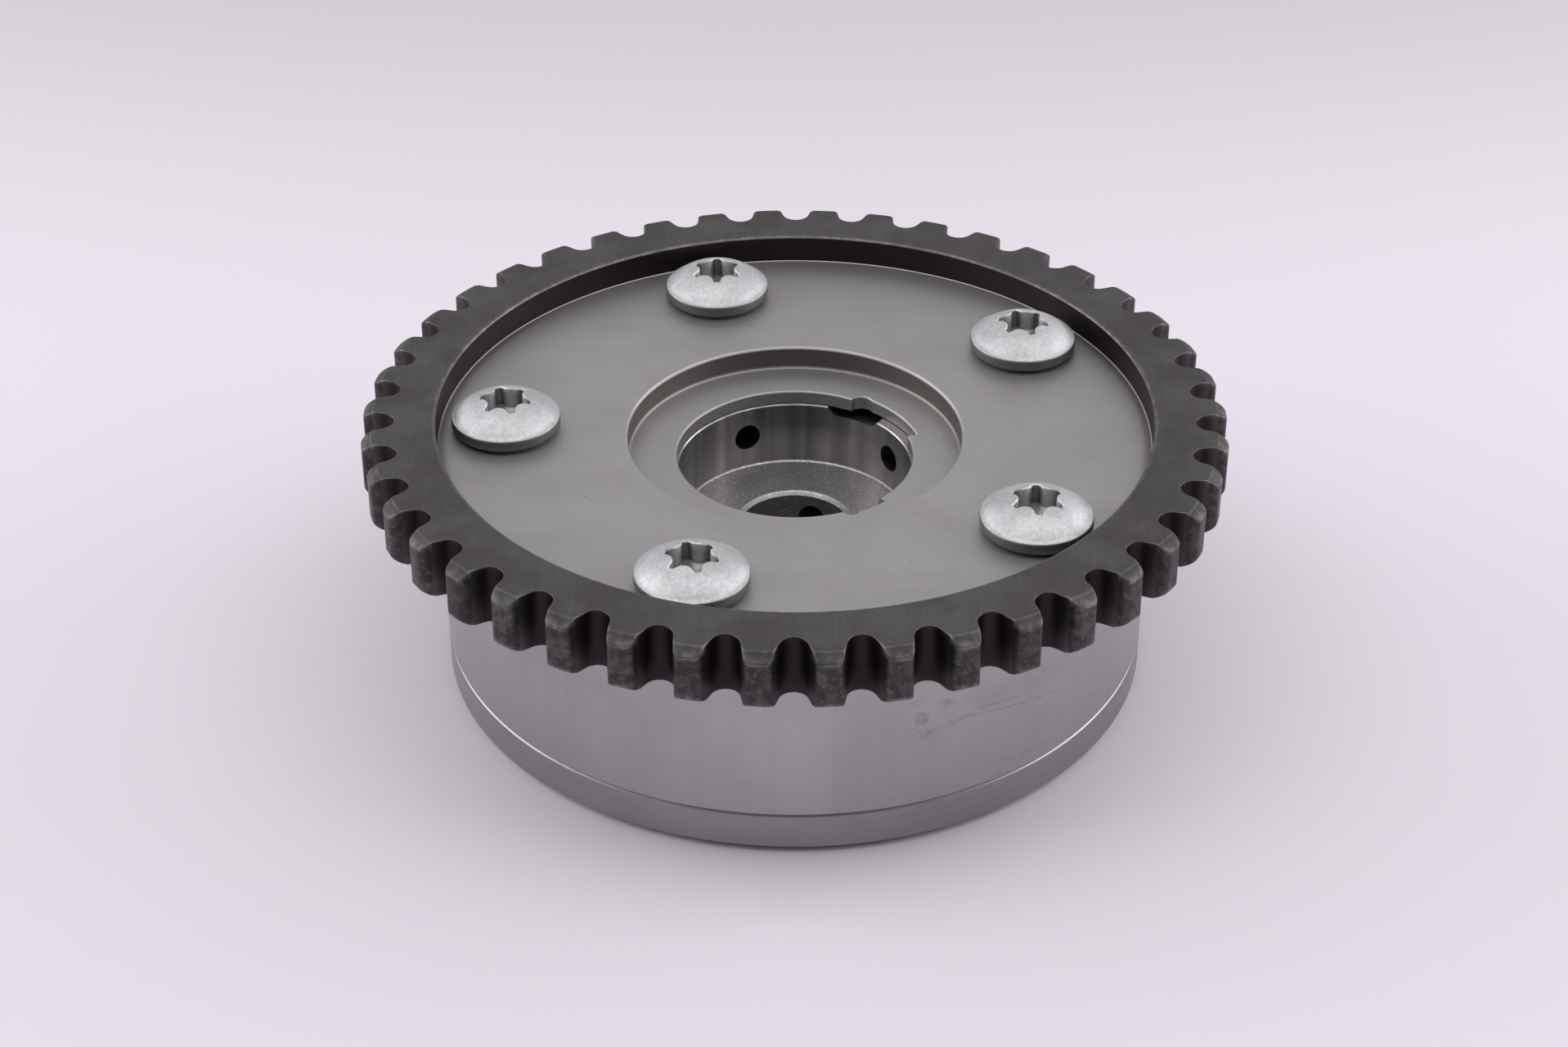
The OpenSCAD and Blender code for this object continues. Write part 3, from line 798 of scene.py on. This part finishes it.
def screw_section(degrees):
    """The screw's section at an angle, from the recess over the dome and down the thread."""
    lobe = lobe_radius(degrees)
    wall = lobe - 0.08
    floor = head_top - drive_depth
    mouth = lobe + 0.12
    mouth_z = dome_height(mouth)
    points = [(0, floor - 0.5), (wall * 0.8, floor), (wall, floor + 0.15), (wall, mouth_z - 0.22)]
    points += [(lobe - 0.03, mouth_z - 0.08), (mouth, mouth_z)]
    start = drive_r + 0.25
    dome = [start + (dome_r - 0.12 - start) * k / dome_steps for k in range(dome_steps + 1)]
    points += [(r, dome_height(r)) for r in dome]
    points += [(dome_r + 0.08, dome_z + 0.06), (head_r - 0.03, dome_z - 0.1)]
    points += [(head_r, dome_z - 0.28), (head_r, head_foot + 0.2), (head_r - 0.05, head_foot)]
    points += [(head_r - 0.2, head_foot - 0.2), (head_r - head_foot, 0)]
    points += [(screw_r, 0), (screw_r, -plain_shank)]
    turns = int((screw_len - 4) / thread_pitch)
    for turn in range(turns):
        top = -plain_shank - 0.2 - turn * thread_pitch
        points.append((screw_r - thread_depth, top - thread_pitch / 2))
        points.append((screw_r, top - thread_pitch))
    points += [(screw_r - 0.7, -screw_len), (0, -screw_len)]
    return points


# The attribute marks painted shade: under the dome's edge, and in the recess's lobes.
one_screw = turned("one_screw", screw_section, lobe_steps)
scallop_in = scallop_x - scallop_r
marks = one_screw.data.attributes.new("painted_screw_shade", "FLOAT", "POINT")
for mark, vertex in zip(marks.data, one_screw.data.vertices):
    radius = vertex.co.xy.length / MM
    height = vertex.co.z / MM
    if radius > screw_r + 1:
        mark.value = float(height < dome_z - 0.05)
    elif radius < drive_r and 0 < height < dome_height(drive_r) - 0.15:
        lobe = lobe_radius(math.degrees(math.atan2(vertex.co.y, vertex.co.x)))
        mark.value = 0.15 + 0.6 * (lobe - scallop_in) / (drive_r - scallop_in)

zinc_flake, place = new_finish("Zinc flake")
flakes = noise(place, 2.2, 4.0, 0.65)
patches = noise(place, 0.35, 3.0)
specks = ease(noise(place, 1.6, 2.0), 0.7, 0.78)
screw_shade_share = place.node("ShaderNodeAttribute", {"attribute_name": "painted_screw_shade"}, output=2)
mottled = ease(flakes, 0.38, 0.62) * 0.5 + ease(patches, 0.4, 0.62) * 0.4
colour = tint(mottled, (0.67, 0.67, 0.685), (0.5, 0.5, 0.515))
colour = tint(specks * 0.4, colour, (0.34, 0.33, 0.34))
# Painted shade darkens the band under the dome's edge and the lobes of the recess.
colour = tint(screw_shade_share * 0.92, colour, (0.14, 0.143, 0.132))
coat(zinc_flake, colour, 0.5 + flakes * 0.14, flakes, 0.012)


def sum_of(tree, operation, *values):
    """The output of a Math node of a geometry tree on the values in that order."""
    return add_node(tree, "ShaderNodeMath", dict(enumerate(values)), operation=operation).outputs[0]


screw_tree, screw_inputs = node_tree("Screws in a circle", {
    "Circle radius": "NodeSocketFloat", "Start angle": "NodeSocketFloat",
    "Seat height": "NodeSocketFloat", "Count": "NodeSocketInt", "Finish": "NodeSocketMaterial"})
given = screw_tree.nodes.new("NodeGroupInput").outputs
spots = add_node(screw_tree, "GeometryNodeMeshLine", {
    "Count": given["Count"], "Offset": (0, 0, 0)})
number = screw_tree.nodes.new("GeometryNodeInputIndex").outputs[0]
share = sum_of(screw_tree, "DIVIDE", number, given["Count"])
swing = sum_of(screw_tree, "MULTIPLY_ADD", share, math.tau, given["Start angle"])
spin = swing
for k, degrees in enumerate(drive_turns):
    is_this = sum_of(screw_tree, "COMPARE", number, k, 0.1)
    spin = sum_of(screw_tree, "MULTIPLY_ADD", is_this, math.radians(degrees), spin)
seat = add_node(screw_tree, "ShaderNodeCombineXYZ", {
    "X": given["Circle radius"], "Z": given["Seat height"]})
seat_turned = add_node(screw_tree, "ShaderNodeVectorRotate", {
    "Vector": seat.outputs[0], "Angle": swing}, rotation_type="Z_AXIS")
placed = add_node(screw_tree, "GeometryNodeSetPosition", {
    "Geometry": spots.outputs[0], "Position": seat_turned.outputs[0]})
spin_axis = add_node(screw_tree, "ShaderNodeCombineXYZ", {"Z": spin})
screws = add_node(screw_tree, "GeometryNodeInstanceOnPoints", {
    "Points": placed.outputs[0], "Instance": given["Geometry"], "Rotation": spin_axis.outputs[0]})
real = add_node(screw_tree, "GeometryNodeRealizeInstances", {0: screws.outputs[0]})
painted = add_node(screw_tree, "GeometryNodeSetMaterial", {
    "Geometry": real.outputs[0], "Material": given["Finish"]})
ended = screw_tree.nodes.new("NodeGroupOutput")
screw_tree.links.new(painted.outputs[0], ended.inputs[0])
cover_screws = grown("domed_cover_screws", one_screw, screw_tree, screw_inputs, {
    "Circle radius": screw_circle_r * MM, "Start angle": math.radians(screw_start),
    "Seat height": front_high * MM, "Count": screw_count, "Finish": zinc_flake})
dress(cover_screws, zinc_flake, "housing", "cover_screws")


# Chain ring
# A hardened dark steel sprocket of 42 teeth, pressed onto the front cover's rim. The tooth tips are
# chamfered on both faces, and the edges are worn bright. One tooth is made and set round the ring.

ring_low, ring_high = (corner.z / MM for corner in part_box("sprocket_ring"))
tip_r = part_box("sprocket_ring")[1].x / MM
teeth = 42
root_round = 1.75
root_steps = 8
tip_above_pitch = 1.67
root_below_pitch = 2.5
root_r = tip_r - tip_above_pitch - root_below_pitch
flank_flare = math.radians(18)
chamfer_w = 1.4
chamfer_h = 1.0
chamfer_soft = 0.12
tooth_edge = 0.2
tip_corner = 0.8
ring_bore_r = body_r + 0.01
ring_edge = 0.28
chamfer_start = tip_r - chamfer_w


def tooth_half():
    """Half a tooth's outline in its own frame, from the gullet's bottom to the middle of the tip."""
    pitch = math.tau / teeth
    centre = Vector((root_r + root_round, 0))
    points = []
    for k in range(root_steps + 1):
        angle = math.pi - (math.pi / 2 - flank_flare) * k / root_steps
        points.append(centre + root_round * Vector((math.cos(angle), math.sin(angle))))
    lean = Vector((math.cos(flank_flare), math.sin(flank_flare)))
    start = points[-1]
    run = start.dot(lean)
    along = -run + math.sqrt(run ** 2 + tip_r ** 2 - start.length_squared)
    corner = start + lean * along
    for part in (0.3, 0.6):
        points.append(start + lean * (along - tip_corner) * part)
    tip_angle = math.atan2(corner.y, corner.x) + tip_corner / tip_r
    curve_end = tip_r * Vector((math.cos(tip_angle), math.sin(tip_angle)))
    curve_start = corner - lean * tip_corner
    for k in range(5):
        t = k / 4
        points.append(curve_start * (1 - t) ** 2 + corner * (2 * t * (1 - t)) + curve_end * t ** 2)
    middle = tip_r * Vector((math.cos(pitch / 2), math.sin(pitch / 2)))
    points.append(middle)
    return points


def top_drop(radius):
    """How far the tooth's face has dropped at a radius, with a soft start to the chamfer."""
    past = radius - chamfer_start
    slope = chamfer_h / chamfer_w
    if past < -chamfer_soft:
        return 0.0
    if past > chamfer_soft:
        return past * slope
    return slope * (past + chamfer_soft) ** 2 / 4 / chamfer_soft


half = tooth_half()
pitch_turn = Matrix.Rotation(math.tau / teeth, 2)
other_half = [pitch_turn @ Vector((p.x, -p.y)) for p in reversed(half[:-1])]
tooth_outline = half + other_half
# Each point of the outline gives a column of (spot, height, worn share, shade share), from the
# middle of the tooth's wall over its upper face to the ring's bore, and mirrored to the lower face.
# The shade share is painted shade in the gullets and on the ring's bore wall.
ring_points = []
ring_marks = []
mouth = rounded([
    (ring_bore_r + ring_edge + 0.8, ring_high), (ring_bore_r + ring_edge, ring_high),
    (ring_bore_r, ring_high - ring_edge), (ring_bore_r, ring_low + 2)], 0.1)[4:12]
for k, point in enumerate(tooth_outline):
    first = k == 0
    last = k == len(tooth_outline) - 1
    before = Vector((tooth_outline[1].x, -tooth_outline[1].y)) if first else tooth_outline[k - 1]
    after = pitch_turn @ tooth_outline[1] if last else tooth_outline[k + 1]
    along = (after - before).normalized()
    inward = Vector((-along.y, along.x))
    if inward.dot(point) > 0:
        inward = -inward
    gullet = 1 - min(1, max(0, (point.length - root_r - 1.5) / 2.2))
    edge_z = ring_high - top_drop(point.length) - tooth_edge
    column = [(point, edge_z - 0.5, 0.0, gullet), (point, edge_z - 0.12, 0.25, gullet)]
    for step in range(4):
        angle = math.pi / 2 * step / 3
        spot = point + inward * tooth_edge * (1 - math.cos(angle))
        height = ring_high - top_drop(spot.length) - tooth_edge * (1 - math.sin(angle))
        column.append((spot, height, 1 - 0.85 * gullet, gullet * (1 - step / 3)))
    inset = point + inward * tooth_edge
    heading = inset.normalized()
    for past in (0.35, 0.12, 0, -0.12, -0.5):
        r = min(chamfer_start + past, inset.length - 0.02)
        column.append((heading * r, ring_high - top_drop(r), 0.0, 0.0))
    for r in (root_r - 0.45, root_r - 2.2):
        column.append((heading * r, ring_high, 0.0, 0.0))
    column.append((heading * (ring_bore_r + ring_edge + 0.25), ring_high, 0.0, 0.0))
    column += [(heading * r, z, 0.55, 0.0) for r, z in mouth[:6]]
    column += [(heading * r, z, 0.0, 0.95) for r, z in mouth[6:]]
    column += [
        (spot, ring_low + ring_high - z, worn, wall_shade_share) for spot, z, worn, wall_shade_share in reversed(column)]
    ring_points.append([(spot.x, spot.y, z) for spot, z, worn, wall_shade_share in column])
    ring_marks.append([(worn, wall_shade_share) for spot, z, worn, wall_shade_share in column])
size = len(ring_points[0])
faces = []
for k in range(len(ring_points) - 1):
    for j in range(size):
        i = (j + 1) % size
        faces.append((k * size + j, (k + 1) * size + j, (k + 1) * size + i, k * size + i))
mesh = bpy.data.meshes.new("one_tooth")
mesh.from_pydata([Vector(p) * MM for column in ring_points for p in column], [], faces)
for index, name in enumerate(("worn_edge", "gullet_wall")):
    marks = mesh.attributes.new(name, "FLOAT", "POINT")
    marks.data.foreach_set("value", [mark[index] for column in ring_marks for mark in column])
one_tooth = bpy.data.objects.new("one_tooth", mesh)
bpy.context.scene.collection.objects.link(one_tooth)

dark_steel, place = new_finish("Dark chain ring")
worn = place.node("ShaderNodeAttribute", {"attribute_name": "worn_edge"}, output=2)
wall_shade_share = place.node("ShaderNodeAttribute", {"attribute_name": "gullet_wall"}, output=2)
clouds = noise(place, 0.12, 4.0, 0.6)
brush = noise(stretched(place, 3.0, 0.12, 1.0), 1.0, 3.0)
tone_share = ease(noise(place, 0.9, 3.0), 0.38, 0.68)
x, y, z = split(place)
reach = (x * x + y * y) ** 0.5
above = z - (ring_low + ring_high) / 2
height = above.math("ABSOLUTE", above)
half_h = (ring_high - ring_low) / 2
outer = ease(reach, chamfer_start - 0.1, chamfer_start + 0.2)
slope = outer * ease(height, half_h - chamfer_h - 0.15, half_h - chamfer_h)
land = outer * ease(height, half_h - chamfer_h, half_h - chamfer_h - 0.15)
blotches = ease(noise(place, 0.7, 5.0, 0.65), 0.38, 0.6)
flecks = ease(noise(place, 1.7, 3.0, 0.6), 0.56, 0.72)
crest = ease(reach, chamfer_start + 0.35, chamfer_start + 0.12) * slope
patina = ease(noise(place, 0.16, 5.0, 0.6), 0.46, 0.62)
uneven = ease(clouds, 0.36, 0.64) * 0.65 + ease(brush, 0.35, 0.7) * 0.3
colour = tint(uneven, (0.14, 0.134, 0.134), (0.093, 0.089, 0.091))
colour = tint(patina * 0.55, colour, (0.105, 0.09, 0.083))
# The tooth tips' outer faces are darkened with painted shade, in uneven blotches.
colour = tint(land * (0.3 + blotches * 0.6), colour, (0.045, 0.041, 0.042))
colour = tint(land * flecks * 0.5, colour, (0.22, 0.21, 0.205))
# Painted shade darkens the gullets and the ring's bore wall.
colour = tint(wall_shade_share * 0.92, colour, (0.027, 0.018, 0.02))
# The chamfers are darkened with painted shade, more in some patches than in others.
colour = tint(slope * (0.4 - tone_share * 0.3), colour, (0.042, 0.04, 0.04))
colour = tint(crest * (0.15 + tone_share * 0.25), colour, (0.26, 0.245, 0.225))
bright = worn * (0.1 + tone_share * 0.45) * (1 - wall_shade_share * 0.85) * (1 - slope * 0.5)
colour = tint(bright, colour, (0.36, 0.34, 0.32))
coat(dark_steel, colour, 0.42 + clouds * 0.14 - worn * 0.08 + slope * 0.22, brush, 0.006)

ring_tree, ring_inputs = node_tree("Teeth round the ring", {
    "Teeth": "NodeSocketInt", "Join distance": "NodeSocketFloat", "Finish": "NodeSocketMaterial"})
given = ring_tree.nodes.new("NodeGroupInput").outputs
spots = add_node(ring_tree, "GeometryNodeMeshLine", {
    "Count": given["Teeth"], "Offset": (0, 0, 0)})
number = ring_tree.nodes.new("GeometryNodeInputIndex").outputs[0]
share = sum_of(ring_tree, "DIVIDE", number, given["Teeth"])
swing = sum_of(ring_tree, "MULTIPLY", share, math.tau)
heading = add_node(ring_tree, "ShaderNodeCombineXYZ", {"Z": swing})
sectors = add_node(ring_tree, "GeometryNodeInstanceOnPoints", {
    "Points": spots.outputs[0], "Instance": given["Geometry"], "Rotation": heading.outputs[0]})
real = add_node(ring_tree, "GeometryNodeRealizeInstances", {0: sectors.outputs[0]})
joined = add_node(ring_tree, "GeometryNodeMergeByDistance", {
    "Geometry": real.outputs[0], "Distance": given["Join distance"]})
painted = add_node(ring_tree, "GeometryNodeSetMaterial", {
    "Geometry": joined.outputs[0], "Material": given["Finish"]})
ended = ring_tree.nodes.new("NodeGroupOutput")
ring_tree.links.new(painted.outputs[0], ended.inputs[0])
chain_ring = grown("chain_tooth_ring", one_tooth, ring_tree, ring_inputs, {
    "Teeth": teeth, "Join distance": 2e-6, "Finish": dark_steel})
half_pitch = Matrix.Rotation(math.pi / teeth, 3, "Z")
shell = bmesh.new()
shell.from_mesh(chain_ring.data)
bmesh.ops.rotate(shell, verts=shell.verts, cent=(0, 0, 0), matrix=half_pitch)
bmesh.ops.dissolve_degenerate(shell, edges=shell.edges, dist=2e-7)
bmesh.ops.recalc_face_normals(shell, faces=shell.faces)
shell.to_mesh(chain_ring.data)
shell.free()
dress(chain_ring, dark_steel, "housing", "sprocket_ring")


# Studio
# A pale lilac-white paper floor under soft light from a big overhead sheet and two side sheets.
# The camera's place and lens follow from the circles that the photo shows.

floor_size = 3.0
mesh = bpy.data.meshes.new("paper_floor")
half = floor_size / 2
floor_corners = [(-half, -half, 0), (half, -half, 0), (half, half, 0), (-half, half, 0)]
mesh.from_pydata(floor_corners, [], [(0, 1, 2, 3)])
floor = bpy.data.objects.new("paper_floor", mesh)
bpy.context.scene.collection.objects.link(floor)
paper, place = new_finish("Lilac white paper", 0.0)
fibres = noise(place, 0.5, 3.0)
clouds = noise(place, 0.01, 2.0)
x, y, z = split(place)
colour = tint(clouds * 0.5 + fibres * 0.2, (0.81, 0.765, 0.84), (0.77, 0.73, 0.8))
# The paper is darker towards the back: painted shade where less light falls.
colour = tint(ease(y, 60, 270), colour, (0.62, 0.593, 0.632))
coat(paper, colour, 0.8 + fibres * 0.1, fibres, 0.01)
floor.data.materials.append(paper)

world = bpy.data.worlds.new("Soft room")
bpy.context.scene.world = world
world.use_nodes = True
sky = world.node_tree.nodes["Background"]
way = Field(world.node_tree.nodes.new("ShaderNodeTexCoord").outputs["Generated"])
x, y, z = split(way)
glow = tint(ease(y, -0.75, 0.35), (0.2, 0.195, 0.195), (0.66, 0.65, 0.665))
glow = tint(ease(z, 0.6, 0.95) * 0.8, glow, (0.12, 0.12, 0.12))
world.node_tree.links.new(glow.socket, sky.inputs["Color"])
sky.inputs["Strength"].default_value = 1.0


def light_sheet(name, place, aim, width, height, power):
    """A soft sheet of light at a place, turned towards its aim."""
    lamp = bpy.data.lights.new(name, "AREA")
    lamp.shape = "RECTANGLE"
    lamp.size = width
    lamp.size_y = height
    lamp.energy = power
    lamp.color = (1.0, 0.99, 1.0)
    sheet = bpy.data.objects.new(name, lamp)
    sheet.location = place
    sheet.rotation_euler = (Vector(aim) - Vector(place)).to_track_quat("-Z", "Y").to_euler()
    bpy.context.scene.collection.objects.link(sheet)


light_sheet("overhead_sheet", (0.0, -0.11, 0.75), (0, 0, 0.02), 1.3, 0.5, 3.5)
light_sheet("left_sheet", (-0.6, 0.08, 0.22), (0, 0, 0.0), 0.6, 0.3, 1.9)
light_sheet("right_sheet", (0.6, 0.1, 0.22), (0, 0, 0.0), 0.6, 0.3, 2.0)

camera_turn = Matrix.Rotation(math.radians(0.3), 3, "Z")
camera_place = camera_turn @ Vector((-1.3835, -340.21, 241.28)) * MM
camera_aim = camera_turn @ Vector((-1.3835, 0, 18.003)) * MM
lens = bpy.data.cameras.new("camera")
lens.sensor_fit = "HORIZONTAL"
lens.sensor_width = 36
lens.lens = 71.35
lens.clip_start = 0.01
camera = bpy.data.objects.new("camera", lens)
camera.location = camera_place
camera.rotation_euler = (camera_aim - camera_place).to_track_quat("-Z", "Y").to_euler()
bpy.context.scene.collection.objects.link(camera)
bpy.context.scene.camera = camera
bpy.context.scene.view_settings.view_transform = "Standard"
